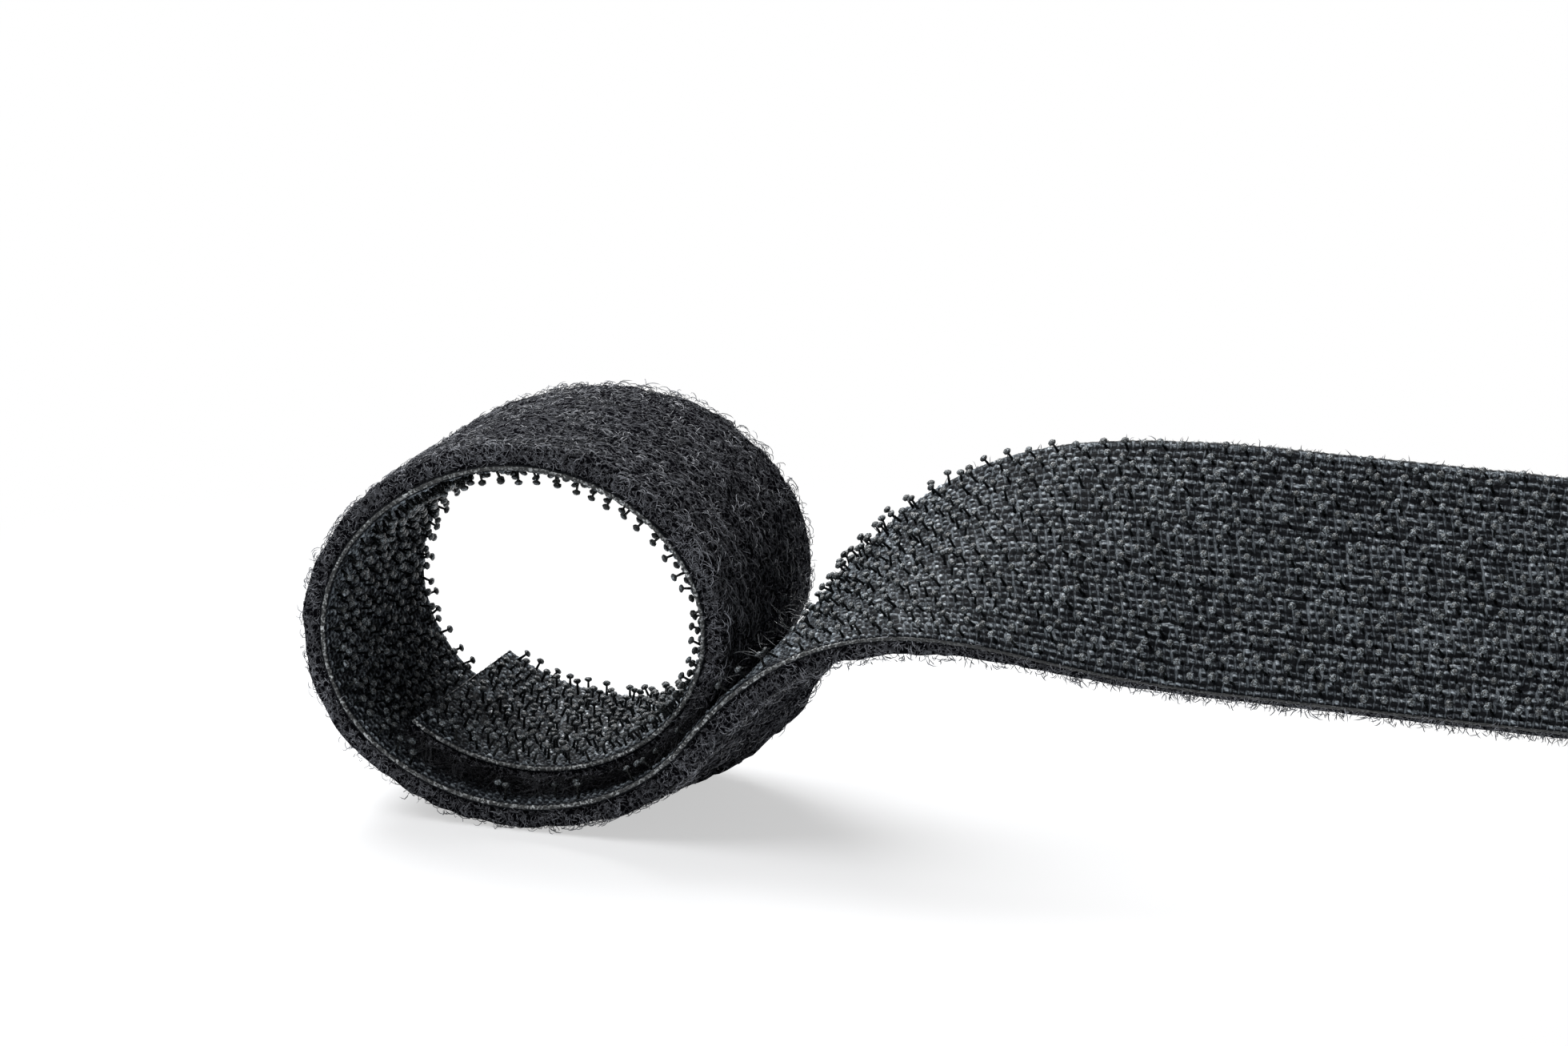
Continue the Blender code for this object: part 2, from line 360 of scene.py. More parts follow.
# The woven ground of the hook tape: a close weave of black nylon whose warp floats lie along the strap
# in rows, with weft crossing between them. A thin coating bonds its back to the pile tape. On the second
# turn, where hooks and loops have met, and for a way past the lift-off, painted shade dulls it.
ROWS = 32
ROW = TAPE_WIDTH / ROWS
PICK = 0.38 * MM
STEPS_A_PICK = 3
RELIEF = 0.21 * MM
RELIEF_ABOVE = 0.55
FLOATS_A_ROW = 500
OUT_OF_ORDER = 0.35
MISSED_DIPS = 0.03
SHAKE_ALONG = 0.030 * MM
SHAKE_ASIDE = 0.035 * MM
DRIFT = 0.17 * MM
DRIFT_PATCH = 0.6 * MM
SWELL = 0.06 * MM
SWELL_PATCH = 0.7 * MM
SHADE_EASE = 10.0
SHADE_FADE = 22.0 * MM
HALF = TAPE_WIDTH / 2
PATCH_ROWS = 1024
PATCH_COLUMNS = 64


def patchy(distance, sideways, size, seed):
    """0 to 1: random values at the corners of squares of that size, eased between the corners."""
    table = np.random.default_rng(seed).random((PATCH_ROWS, PATCH_COLUMNS))
    rows = np.asarray(distance) / size + PATCH_ROWS / 2
    columns = np.asarray(sideways) / size + PATCH_COLUMNS / 2
    row = np.floor(rows).astype(int)
    column = np.floor(columns).astype(int)
    down = ease(rows - row)
    over = ease(columns - column)
    row = row % (PATCH_ROWS - 1)
    column = column % (PATCH_COLUMNS - 1)
    near = table[row, column] * (1.0 - over) + table[row, column + 1] * over
    far = table[row + 1, column] * (1.0 - over) + table[row + 1, column + 1] * over
    return near * (1.0 - down) + far * down


def capped_tube(rings, sides):
    """Triangles of a tube: a start point, rings of points one after another, and an end point."""
    side = np.arange(sides)
    after = (side + 1) % sides
    start = np.stack([np.zeros(sides, int), 1 + after, 1 + side], axis=1)
    level = 1 + sides * np.arange(rings - 1)[:, None]
    lower = np.stack([level + side, level + after, level + sides + after], axis=-1)
    upper = np.stack([level + side, level + sides + after, level + sides + side], axis=-1)
    last = 1 + sides * (rings - 1)
    end = np.stack([np.full(sides, last + sides), last + side, last + after], axis=1)
    return np.concatenate([start, lower.reshape(-1, 3), upper.reshape(-1, 3), end])


def skin(distance, side, height):
    """A closed skin along the strap through outlines of points, with a point at each end's middle."""
    outline = on_strap(distance, side, height)
    middle = outline.mean(axis=1)
    points = np.concatenate([middle[:1], outline.reshape(-1, 3), middle[-1:]])
    return points, capped_tube(outline.shape[0], outline.shape[1])


def weave_relief(step, column):
    """Height of the weave from 0 to 1, each float's own strength and the weft, at thirds of a pick.

    Even columns are the gaps between rows, and odd ones run along the floats' crowns. A float is 0.62
    to 1 high by its strength, and 0.10 to 0.32 where it dips under the weft, at one step in three.
    Most rows dip a step before the row beside them. A gap stands at 0.22 next to a dip and lower
    elsewhere. The weft is 1 where it crosses a dip, and 0.36 to 0.72 in the gap on either side of one.
    """
    rng = np.random.default_rng(11)
    shift = (np.arange(ROWS + 1) + (rng.random(ROWS + 1) < OUT_OF_ORDER)) % STEPS_A_PICK
    vigour = rng.random((ROWS + 1, FLOATS_A_ROW))
    crossed = rng.random((ROWS + 1, FLOATS_A_ROW)) > MISSED_DIPS

    def dips_of(row):
        """Each row's float number at each step, and whether the float dips there."""
        number = (step + shift[row]) // STEPS_A_PICK % FLOATS_A_ROW
        return number, ((step + shift[row]) % STEPS_A_PICK == 0) & crossed[row, number]

    row = column // 2
    number, dips = dips_of(row)
    dips_before = dips_of(np.maximum(row - 1, 0))[1]
    strength = vigour[row, number]
    crown = np.where(dips, 0.10 + 0.22 * strength, 0.62 + 0.38 * strength)
    gap = np.where(dips | dips_before, 0.22, 0.10 * strength)
    on_crown = column % 2 == 1
    weft = np.where(on_crown, 1.0 * dips, (0.36 + 0.36 * strength) * (dips | dips_before))
    return np.where(on_crown, crown, gap), strength, weft


step = np.arange(round(TAPE_LENGTH / PICK * STEPS_A_PICK) + 1)[:, None]
column = np.arange(2 * ROWS, -1, -1)[None, :]
relief, vigour, weft = weave_relief(step, column)
stations = step * PICK / STEPS_A_PICK
middle = (column > 0) & (column < 2 * ROWS) & (step > 0) & (step < len(step) - 1)
shake = np.random.default_rng(12).uniform(-1.0, 1.0, (2,) + relief.shape) * middle
drift = (patchy(stations, column * ROW / 2, DRIFT_PATCH, 13) - 0.5) * middle
weave_distance = stations + SHAKE_ALONG * shake[0]
weave_side = (column - ROWS) * ROW / 2 + DRIFT * drift + SHAKE_ASIDE * shake[1]
swell = SWELL * (patchy(stations, column * ROW / 2, SWELL_PATCH, 14) - 0.5)
weave_height = -BOND / 2 - GROUND_THICKNESS + RELIEF_ABOVE * RELIEF - RELIEF * relief + swell
back_side = np.broadcast_to([-HALF, 0.0, HALF], (len(step), 3))
back_height = np.full((len(step), 3), -BOND / 2)
flat = np.zeros((len(step), 3))
# Painted shade on the weave: it eases in along the second turn and fades out past the lift-off.
second_turn = ease((along_course("angle", stations) - SECOND_TURN_ANGLE) / SHADE_EASE)
second_turn = second_turn * (1.0 - ease((stations - RING_LENGTH) / SHADE_FADE))
overlap_shade = np.broadcast_to(second_turn, relief.shape)

ground_distance = np.concatenate([weave_distance, stations + flat], axis=1)
ground_side = np.concatenate([weave_side, back_side], axis=1)
points, faces = skin(ground_distance, ground_side, np.concatenate([weave_height, back_height], axis=1))


def over_ends(values):
    """Values for a skin's points: those of its outlines, with the first and last for its ends."""
    return np.concatenate([[0.0], np.ravel(values), [0.0]])


woven_ground = add_mesh(
    "woven_ground",
    points,
    faces,
    {
        "lengthways": over_ends(ground_distance) / MM,
        "sideways": over_ends(ground_side) / MM,
        "relief": over_ends(np.concatenate([relief, flat], axis=1)),
        "vigour": over_ends(np.concatenate([vigour, flat], axis=1)),
        "weft": over_ends(np.concatenate([weft, flat], axis=1)),
        "overlap_shade": over_ends(np.concatenate([overlap_shade, flat], axis=1)),
    },
)


def attribute(finish, name):
    """One of the piece's own values, kept at its points."""
    return finish.node("Attribute", {"attribute_name": name}, output=2)


weave = Finish("woven_nylon", {"Specular IOR Level": 0.08, "Coat Roughness": 0.32})
lengthways = attribute(weave, "lengthways")
sideways = attribute(weave, "sideways")
threads = weave.node("CombineXYZ", None, {0: lengthways * 2.4, 1: sideways * 7.5, 2: 0.0})
filament = weave.noise(threads, scale=1.6, detail=3.0)
speck = weave.noise(weave.place(), scale=4200.0, detail=2.0)
# Each float's strength varies at random, and the painted shade on the second turn halves it.
strength = (0.50 + 0.50 * attribute(weave, "vigour")) * (1.0 - 0.50 * attribute(weave, "overlap_shade"))
# Painted light: the warp crowns are painted pale as painted highlights, broken into glints along the
# filaments. The weft crossings get painted sheen, and the gaps stay near-black as painted shade. The specks
# vary the tone at random.
warp_crown = weave.step(attribute(weave, "relief"), low=0.38, high=0.78)
weft_crown = weave.step(attribute(weave, "weft"), low=0.40, high=0.95)
painted_sheen = warp_crown * (0.18 + 0.82 * weave.step(filament, low=0.42, high=0.60)) + 0.45 * weft_crown
painted_light = painted_sheen * strength * (0.4 + 1.2 * speck)
weave_colour = weave.mix(painted_light, low=(0.003, 0.004, 0.006), high=(0.385, 0.442, 0.495))
weave.plug(weave.shader.inputs["Base Color"], weave_colour)
weave.plug(weave.shader.inputs["Roughness"], 0.80 - 0.40 * filament)
weave.plug(weave.shader.inputs["Coat Weight"], weave.step(painted_light, low=0.15, high=0.80) * 0.9)
weave.raised(filament, 0.08 * MM)
woven_ground.data.materials.append(weave.material)
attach(woven_ground, "root")
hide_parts("hook_tape")

# The mushroom hooks: stiff nylon monofilaments that stand up out of the weave in staggered columns.
# Each end is melted into a flat domed head, and wear has bent the stems this way and that. None stands
# where the second turn lies on the pile, apart from a few along its overhanging edge.
HOOK_SPACING = 1.04 * MM
HOOK_ROW = 0.68 * MM
HOOK_ROWS = 18
HOOK_SIDES = 7
HOOK_RADIUS = np.array([0.080, 0.057, 0.200, 0.205, 0.125]) * MM
HOOK_LEVEL = np.array([-0.06, 0.46, 0.555, 0.630, 0.705]) * MM
HOOK_TOP = 0.725 * MM
HOOK_CLEARANCE = 7.0 * MM
HOOK_LEAN = 0.42
HOOK_SCATTER_ALONG = 0.16 * MM
HOOK_SCATTER_ASIDE = 0.12 * MM
HOOK_END_MARGIN = 0.3 * MM
HOOK_UNEVENNESS = 0.10
BURIED_MARGIN = 3.0
OVERHANG_MARGIN = 0.25 * MM
OVERHANG_LEFT = 0.45


def repeated(faces, points_each, count):
    """The same triangles for every one of many like shapes, each with its own points."""
    return (faces[None] + (np.arange(count) * points_each)[:, None, None]).reshape(-1, 3)


rows = np.arange(HOOK_ROWS)[None, :]
steps = np.arange(int(TAPE_LENGTH / HOOK_SPACING))[:, None]
chance = np.random.default_rng(21).uniform(-1.0, 1.0, (5, len(steps), HOOK_ROWS))
hook_distance = (steps + 0.25 + 0.5 * (rows % 2)) * HOOK_SPACING + HOOK_SCATTER_ALONG * chance[0]
hook_side = (rows - (HOOK_ROWS - 1) / 2) * HOOK_ROW + HOOK_SCATTER_ASIDE * chance[1]
on_pile = along_course("angle", hook_distance) > SECOND_TURN_ANGLE - BURIED_MARGIN
on_pile = on_pile & (hook_distance - RING_LENGTH < HOOK_CLEARANCE)
overhanging = (hook_side < SIDESTEP - HALF - OVERHANG_MARGIN) & (chance[4] > OVERHANG_LEFT)
inside = (hook_distance > HOOK_END_MARGIN) & (hook_distance < TAPE_LENGTH - HOOK_END_MARGIN)
standing = inside & (~on_pile | overhanging)
hook_distance = hook_distance[standing]
hook_side = hook_side[standing]
chance = chance[:, standing]

foot = on_strap(hook_distance, hook_side, np.full(len(hook_side), -BOND / 2 - GROUND_THICKNESS))
axis = -along_course("out", hook_distance)
axis = axis + HOOK_LEAN * chance[2][:, None] * along_course("along", hook_distance)
axis = unit(axis + HOOK_LEAN * chance[3][:, None] * along_course("across", hook_distance))
one_way = unit(np.cross(axis, along_course("along", hook_distance)))
other_way = np.cross(axis, one_way)
turn = np.arange(HOOK_SIDES) / HOOK_SIDES * 2.0 * math.pi
spokes = np.cos(turn)[:, None] * one_way[:, None] + np.sin(turn)[:, None] * other_way[:, None]
tallness = (1.0 + HOOK_UNEVENNESS * chance[4])[:, None, None]
stem = foot[:, None] + axis[:, None] * HOOK_LEVEL[None, :, None] * tallness
rings = stem[:, :, None] + spokes[:, None] * HOOK_RADIUS[None, :, None, None]
base = foot + axis * HOOK_LEVEL[0]
top = foot + axis * HOOK_TOP * tallness[:, 0]
hook_points = np.concatenate([base[:, None], rings.reshape(len(foot), -1, 3), top[:, None]], axis=1)
hook_faces = repeated(capped_tube(len(HOOK_RADIUS), HOOK_SIDES), hook_points.shape[1], len(foot))
hook_level = np.concatenate([[0.0], np.repeat(HOOK_LEVEL / HOOK_TOP, HOOK_SIDES), [1.0]])
mushroom_hooks = add_mesh(
    "mushroom_hooks",
    hook_points,
    hook_faces,
    {
        "level": np.tile(hook_level, len(foot)),
        "shade": np.repeat(np.random.default_rng(22).random(len(foot)), hook_points.shape[1]),
    },
)
hook_nylon = Finish("hook_nylon", {"Roughness": 0.22})
dimples = hook_nylon.noise(hook_nylon.place(), scale=11000.0, detail=2.0)
head = hook_nylon.step(attribute(hook_nylon, "level"), low=0.72, high=0.9)
# The heads' pale specks are painted glints where the dimples' cloudy value is high, varied by each hook's
# random shade.
painted_glints = 0.10 + 0.90 * hook_nylon.step(dimples, low=0.48, high=0.62)
head_painted_glints = head * (0.25 + 0.75 * attribute(hook_nylon, "shade")) * painted_glints
hook_colour = hook_nylon.mix(head_painted_glints, low=(0.006, 0.008, 0.008), high=(0.27, 0.31, 0.34))
hook_nylon.plug(hook_nylon.shader.inputs["Base Color"], hook_colour)
hook_nylon.raised(dimples, 0.10 * MM)
mushroom_hooks.data.materials.append(hook_nylon.material)
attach(mushroom_hooks, "root")
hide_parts("hook_tape")

# The cut edge: the tape is slit from a wide web, which leaves the coated ground bare as a pale gritty
# line, about a third of a millimetre wide, along both sides and across both ends. On the free end the
# pile's fringe darkens it, more so on the near side.
EDGE_STEP = 0.13 * MM
EDGE_PROUD = 0.07 * MM
EDGE_SIDES = 5
EDGE_GRIT_OUT = 0.60
EDGE_GRIT_UP = 0.18
COVERED_NEAR = 0.85
COVERED_FAR = 0.35
COVER_START = 7.0 * MM
COVER_EASE = 9.0 * MM

lengths = np.arange(0.0, TAPE_LENGTH, EDGE_STEP)
widths = np.arange(-HALF, HALF, EDGE_STEP)
edge_distance = np.concatenate([lengths, widths * 0.0 + TAPE_LENGTH, TAPE_LENGTH - lengths, widths * 0.0])
edge_side = np.concatenate([lengths * 0.0 - HALF, widths, lengths * 0.0 + HALF, -widths])
edge_push = np.concatenate(
    [
        np.tile([0.0, -1.0], (len(lengths), 1)),
        np.tile([1.0, 0.0], (len(widths), 1)),
        np.tile([0.0, 1.0], (len(lengths), 1)),
        np.tile([-1.0, 0.0], (len(widths), 1)),
    ]
)
round_edge = (np.arange(EDGE_SIDES) + 0.5) / EDGE_SIDES * 2.0 * math.pi
grit = np.random.default_rng(31).uniform(-1.0, 1.0, (2, len(edge_distance), EDGE_SIDES))
out_by = EDGE_PROUD * (0.15 + 0.85 * np.cos(round_edge)) * (1.0 + EDGE_GRIT_OUT * grit[0])
up_by = GROUND_THICKNESS * (0.32 * np.sin(round_edge) * (1.0 + EDGE_GRIT_UP * grit[1]) - 0.5) - BOND / 2
edge_points = on_strap(
    edge_distance[:, None] + edge_push[:, :1] * out_by, edge_side[:, None] + edge_push[:, 1:] * out_by, up_by
)
around = np.arange(len(edge_distance))[:, None] * EDGE_SIDES
onward = np.roll(around, -1, axis=0)
this_side = np.arange(EDGE_SIDES)[None, :]
next_side = (this_side + 1) % EDGE_SIDES
edge_faces = np.stack(
    [around + this_side, around + next_side, onward + next_side, onward + this_side], axis=-1
).reshape(-1, 4)
covered = np.where(edge_side < 0.0, COVERED_NEAR, COVERED_FAR)
bare = 1.0 - covered * ease((edge_distance - RING_LENGTH - COVER_START) / COVER_EASE)
cut_edge = add_mesh("cut_edge", edge_points, edge_faces, {"bare": np.repeat(bare, EDGE_SIDES)})
cut = Finish("cut_coating", {"Roughness": 0.6})
fibre_ends = cut.step(cut.noise(cut.place(), scale=8000.0, detail=3.0), low=0.48, high=0.63)
worn = cut.step(cut.noise(cut.place(), scale=1100.0, detail=2.0), low=0.35, high=0.70)
pale = fibre_ends * (0.20 + 0.80 * worn) * attribute(cut, "bare")
cut_colour = cut.mix(pale, low=(0.020, 0.022, 0.023), high=(0.58, 0.61, 0.62))
cut.plug(cut.shader.inputs["Base Color"], cut_colour)
cut.raised(cut.noise(cut.place(), scale=9000.0, detail=3.0), 0.05 * MM)
cut_edge.data.materials.append(cut.material)
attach(cut_edge, "root")
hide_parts("hook_tape")

# The matted base of the pile: the knitted ground of the loop tape with the feet of its loops, black
# and dense. It is pressed thin under the second turn and flat where the ring stands on the floor.
FELT_SHARE = 0.92
FELT_STEP = 0.40 * MM
FELT_COLUMNS = 33
FELT_INSET = 0.10 * MM
FINE_TUFT = 0.5 * MM
WIDE_TUFT = 1.1 * MM
UNDER_INSET = 0.06 * MM
UNDER_SINK = 0.04 * MM
PRESSED_MARGIN = 9.0
PRESSED_EASE = 27.0
OPEN_EXTRA = 0.40 * MM
OPEN_FROM = -5.0
OPEN_RISE = 35.0
OPEN_UNTIL = 50.0
OPEN_FALL = 60.0
LIFT_EXTRA = 1.20 * MM
LIFT_EASE = 6.5 * MM
LIFT_REACH = 1.6
# The pile's near-black: its black nylon darkened further as painted shade, for its depths, the felt between
# its curls and the caught loops.
PILE_PAINTED_SHADE = (0.003, 0.003, 0.004)


def pile_thickness(distance, side):
    """Loop thickness: pressed under the second turn, then easing to its full depth.

    Towards the far edge the pile stands taller on the ring's open half and round the lift-off, where
    nothing has pressed it. The lift-off's share eases up over one LIFT_EASE before the ring's end and
    down over one past it, and it is 0 from LIFT_REACH times LIFT_EASE to either side of that end.
    """
    angle = along_course("angle", distance)
    fullness = ease((angle - (LIFT_ANGLE - 360.0) - PRESSED_MARGIN) / PRESSED_EASE)
    open_half = ease((angle - OPEN_FROM) / OPEN_RISE) * (1.0 - ease((angle - OPEN_UNTIL) / OPEN_FALL))
    past_ring = (distance - RING_LENGTH) / LIFT_EASE
    lift_off = ease(past_ring + LIFT_REACH) * (1.0 - ease(past_ring - LIFT_REACH + 1.0))
    taller = ease(0.5 + side / TAPE_WIDTH) * (OPEN_EXTRA * open_half + LIFT_EXTRA * lift_off)
    return PRESSED_THICKNESS + (LOOP_THICKNESS - PRESSED_THICKNESS) * fullness + taller


# The felt's top is lumpy by tufts of two sizes, and it rounds down towards both edges.
felt_rows = np.linspace(0.0, TAPE_LENGTH, round(TAPE_LENGTH / FELT_STEP) + 1)[:, None]
felt_columns = np.linspace(-1.0, 1.0, FELT_COLUMNS)[None, :]
felt_side = (HALF - FELT_INSET) * felt_columns
tufts = patchy(felt_rows, felt_side, FINE_TUFT, 41) * 0.5 + patchy(felt_rows, felt_side, WIDE_TUFT, 42) * 0.5
felt_depth = pile_thickness(felt_rows, felt_side) * FELT_SHARE * (0.76 + 0.42 * tufts)
felt_depth = felt_depth * (1.0 - 0.20 * np.abs(felt_columns) ** 8)
under_side = np.broadcast_to([1.0, 0.0, -1.0], (len(felt_rows), 3)) * (HALF - UNDER_INSET)
under_height = np.full((len(felt_rows), 3), BOND / 2 - UNDER_SINK)
points, faces = skin(
    felt_rows,
    np.concatenate([felt_side + 0.0 * felt_rows, under_side], axis=1),
    np.concatenate([BOND / 2 + felt_depth, under_height], axis=1),
)
pile_base = add_mesh("pile_base", points, faces)
felt = Finish("matted_pile", {"Roughness": 0.9, "Specular IOR Level": 0.0})
# Curls are thin lines where a cloudy value crosses one half, in three sizes laid over one another.
curls = 0.0
for scale, shift in ((1500.0, 0.0), (2100.0, 0.31), (2900.0, 0.67)):
    moved = felt.node("VectorMath", {"operation": "ADD"}, {0: felt.place(), 1: (shift, shift, shift)})
    swirl = felt.noise(moved, scale, detail=1.5) - 0.5
    line = 1.0 - felt.step(swirl * swirl, low=0.0, high=0.0012)
    curls = line + curls * 0.7
matting = felt.noise(felt.place(), scale=2600.0, detail=3.0)
# The curls are paler strands, the loops' feet, painted lighter as painted sheen on the fibres. Between them
# the felt is near-black, its black nylon darkened as painted shade.
painted_strand_sheen = curls * (0.2 + 0.8 * matting) * 0.62
felt_colour = felt.mix(painted_strand_sheen, low=PILE_PAINTED_SHADE, high=(0.200, 0.207, 0.228))
felt.plug(felt.shader.inputs["Base Color"], felt_colour)
felt.raised(matting * 0.5 + curls * 0.3, 0.16 * MM)
pile_base.data.materials.append(felt.material)
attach(pile_base, "root")
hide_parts("loop_tape")

# The pile itself: thousands of fine nylon loops, brushed until many of them have opened, so that they
# curl over one another in every direction. They stand proud of the base and spill over the edges.
FIBRE_SIDES = 3
FIBRE_TAPER = 0.75
CEILING = 1.03
CEILING_WAVE = 0.05
LIT_FROM = 0.70
LIT_OVER = 0.36
LIT_EDGE = 0.34 * MM
RING_SPILL = 0.17 * MM
FREE_SPILL = 0.34 * MM
TUFT = 0.55 * MM
OPEN_EDGE = 0.4 * MM
COVERED_DENSITY = 0.04
LEAST_DENSITY = 0.15
RING_FRINGE = {"share": 0.27, "roots": (0.0, 0.62), "lengths": (0.24, 0.52), "thick": 0.75}
FREE_FRINGE = {"share": 0.44, "roots": (-0.3, 1.0), "lengths": (0.34, 0.76), "thick": 1.0}
RING_PILE = {"count": 10400, "joints": 5, "thick": 0.047 * MM, "lengths": (0.45, 0.92), "spill": RING_SPILL}
FREE_PILE = {"count": 13400, "joints": 4, "thick": 0.055 * MM, "lengths": (0.55, 1.15), "spill": FREE_SPILL}
FRINGE_INSET = (0.05, 0.30)
HIGH_ROOTS = (0.62, 0.80)
FIRST_PITCH = (0.4, 1.3)
LAST_PITCH = (-1.9, -0.3)
FRINGE_FIRST_PITCH = (-0.9, 1.1)
FRINGE_LAST_PITCH = (-1.5, 1.9)
FRINGE_FAN = 1.3
SWERVE = 1.7
HALFWAY = 36.0 * MM
RING_END = RING_LENGTH + 6.0 * MM


def tuft_fullness(distance, side):
    """0 between the tufts of the pile and 1 on them."""
    return patchy(distance, side, TUFT, 43)


def grow_fibres(name, seed, distance, side, root, length, pitches, heading, swerve, radius, spill, joints=5):
    """Fibres as thin three-sided tubes through a few joints, pointed at both ends.

    Each turns evenly from one pitch and heading to the next. Pitch is in radians from the strap's face.
    The line is the sum of short steps in the strap's own along, side and height, so that the fibres
    follow the strap round the ring. Heights stop at about the pile's thickness, by a wave of the
    heading. What would reach past the edge is drawn in by a hyperbolic tangent. The value level is
    painted light: 0 deep in the pile, as painted shade, and 1 at its top or past its edge, as painted
    light. Shade varies by fibre at random and by tuft, darker between tufts as painted shade.
    """
    count = len(distance)
    share = (np.arange(joints - 1) + 0.5) / (joints - 1)
    pitch = pitches[0][:, None] + (pitches[1] - pitches[0])[:, None] * share
    turned = heading[:, None] + swerve[:, None] * share
    step = (length / (joints - 1))[:, None]
    start = np.zeros((count, 1))
    run = step * np.cos(pitch)
    forward = np.concatenate([start, np.cumsum(run * np.cos(turned), axis=1)], axis=1)
    aside = np.concatenate([start, np.cumsum(run * np.sin(turned), axis=1)], axis=1)
    rise = np.concatenate([start, np.cumsum(step * np.sin(pitch), axis=1)], axis=1)
    depth = pile_thickness(distance, side)[:, None]
    ceiling = BOND / 2 + depth * (CEILING + CEILING_WAVE * np.sin(9.0 * heading[:, None]))
    height = np.minimum(root[:, None] + rise, ceiling)
    reach = np.abs(side[:, None] + aside) - HALF
    held = np.where(reach > 0.0, spill * np.tanh(reach / spill), reach)
    sideways = np.sign(side[:, None] + aside) * (HALF + held)
    line = on_strap(distance[:, None] + forward, sideways, height)
    overhang = (reach + LIT_EDGE) / spill
    level = np.clip(np.maximum((height / depth - LIT_FROM) / LIT_OVER, overhang), 0.0, 1.0)
    tangent = unit(np.gradient(line, axis=1) + 1e-9)
    reference = np.random.default_rng(seed).normal(size=(count, 1, 3))
    one_way = unit(np.cross(tangent, reference))
    other_way = np.cross(tangent, one_way)
    turn = np.arange(FIBRE_SIDES) / FIBRE_SIDES * 2.0 * math.pi
    spokes = np.cos(turn)[:, None] * one_way[:, 1:-1, None]
    spokes = spokes + np.sin(turn)[:, None] * other_way[:, 1:-1, None]
    thick = radius[:, None] * np.linspace(1.0, FIBRE_TAPER, joints - 2)
    rings = line[:, 1:-1, None] + spokes * thick[..., None, None]
    points = np.concatenate([line[:, :1], rings.reshape(count, -1, 3), line[:, -1:]], axis=1)
    points[..., 2] = np.maximum(points[..., 2], 0.0)
    faces = repeated(capped_tube(joints - 2, FIBRE_SIDES), points.shape[1], count)
    shade = 0.5 * np.random.default_rng(seed + 1).random(count)
    shade = shade + ease(tuft_fullness(distance, side) * 1.6 - 0.3) * 0.5
    level = np.repeat(level, [1] + [FIBRE_SIDES] * (joints - 2) + [1], axis=1)
    return add_mesh(name, points, faces, {"shade": np.repeat(shade, points.shape[1]), "level": level})


def pile_places(rng, low, high, count):
    """Random feet for fibres, gathered into tufts and thinned out where the second turn lies on them."""
    distance = rng.uniform(low, high, count * 4)
    side = rng.uniform(-HALF, HALF, count * 4)
    covered = along_course("angle", distance) < LIFT_ANGLE - 360.0
    open_side = (side > HALF - SIDESTEP) | (side < OPEN_EDGE - HALF)
    density = LEAST_DENSITY + (1.0 - LEAST_DENSITY) * tuft_fullness(distance, side)
    density = np.where(covered & ~open_side, COVERED_DENSITY, density)
    kept = rng.random(count * 4) < density
    return distance[kept][:count], side[kept][:count]


pile_nylon = Finish("brushed_nylon", {"Roughness": 0.38, "Specular IOR Level": 0.15, "Coat Roughness": 0.35})
# Painted light on the fibres: near-black deep in the pile as painted shade, and paler at its top and past
# its edge as painted light. They are darker between tufts as painted shade, and varied at random.
painted_pile_light = attribute(pile_nylon, "level") * (0.12 + 0.88 * attribute(pile_nylon, "shade"))
fibre_colour = pile_nylon.mix(painted_pile_light, low=PILE_PAINTED_SHADE, high=(0.285, 0.297, 0.333))
pile_nylon.plug(pile_nylon.shader.inputs["Base Color"], fibre_colour)
pile_nylon.plug(pile_nylon.shader.inputs["Coat Weight"], painted_pile_light)


def pile_piece(name, seed, low, high, pile, edges):
    """A stretch of pile: most fibres rise from high roots and curl over, and the rest fringe the edges.

    Roots are shares of the pile's thickness, and a fringe's thick is a share of the pile fibres' own.
    Lengths and the fringe's inset are in millimetres.
    """
    rng = np.random.default_rng(seed)
    distance, side = pile_places(rng, low, high, pile["count"])
    fringe = rng.random(len(distance)) < edges["share"]
    edge = np.sign(rng.uniform(-1.0, 1.0, len(distance)))
    side = np.where(fringe, edge * (HALF - rng.uniform(*FRINGE_INSET, len(side)) * MM), side)
    depth = pile_thickness(distance, side)
    high_root = rng.uniform(*HIGH_ROOTS, len(side)) + 0.10 * tuft_fullness(distance, side)
    root = BOND / 2 + depth * np.where(fringe, rng.uniform(*edges["roots"], len(side)), high_root)
    fringe_length = rng.uniform(*edges["lengths"], len(side))
    length = MM * np.where(fringe, fringe_length, rng.uniform(*pile["lengths"], len(side)))
    fringe_first = rng.uniform(*FRINGE_FIRST_PITCH, len(side))
    first = np.where(fringe, fringe_first, rng.uniform(*FIRST_PITCH, len(side)))
    fringe_last = rng.uniform(*FRINGE_LAST_PITCH, len(side))
    last = np.where(fringe, fringe_last, rng.uniform(*LAST_PITCH, len(side)))
    heading = rng.uniform(-math.pi, math.pi, len(side))
    outward = edge * math.pi / 2 + rng.uniform(-FRINGE_FAN, FRINGE_FAN, len(side))
    heading = np.where(fringe, outward, heading)
    swerve = rng.uniform(-SWERVE, SWERVE, len(side))
    radius = pile["thick"] / 2 * rng.uniform(0.75, 1.15, len(side)) * np.where(fringe, edges["thick"], 1.0)
    place = (distance, side, root)
    curl = (length, (first, last), heading, swerve)
    piece = grow_fibres(name, seed, *place, *curl, radius, pile["spill"], pile["joints"])
    piece.data.materials.append(pile_nylon.material)
    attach(piece, "root")
    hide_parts("loop_tape")
    return piece


inner_pile = pile_piece("pile_first_turn", 51, 0.0, HALFWAY, RING_PILE, RING_FRINGE)
outer_pile = pile_piece("pile_second_turn", 53, HALFWAY, RING_END, RING_PILE, RING_FRINGE)
free_pile = pile_piece("pile_free_end", 55, RING_END, TAPE_LENGTH, FREE_PILE, FREE_FRINGE)

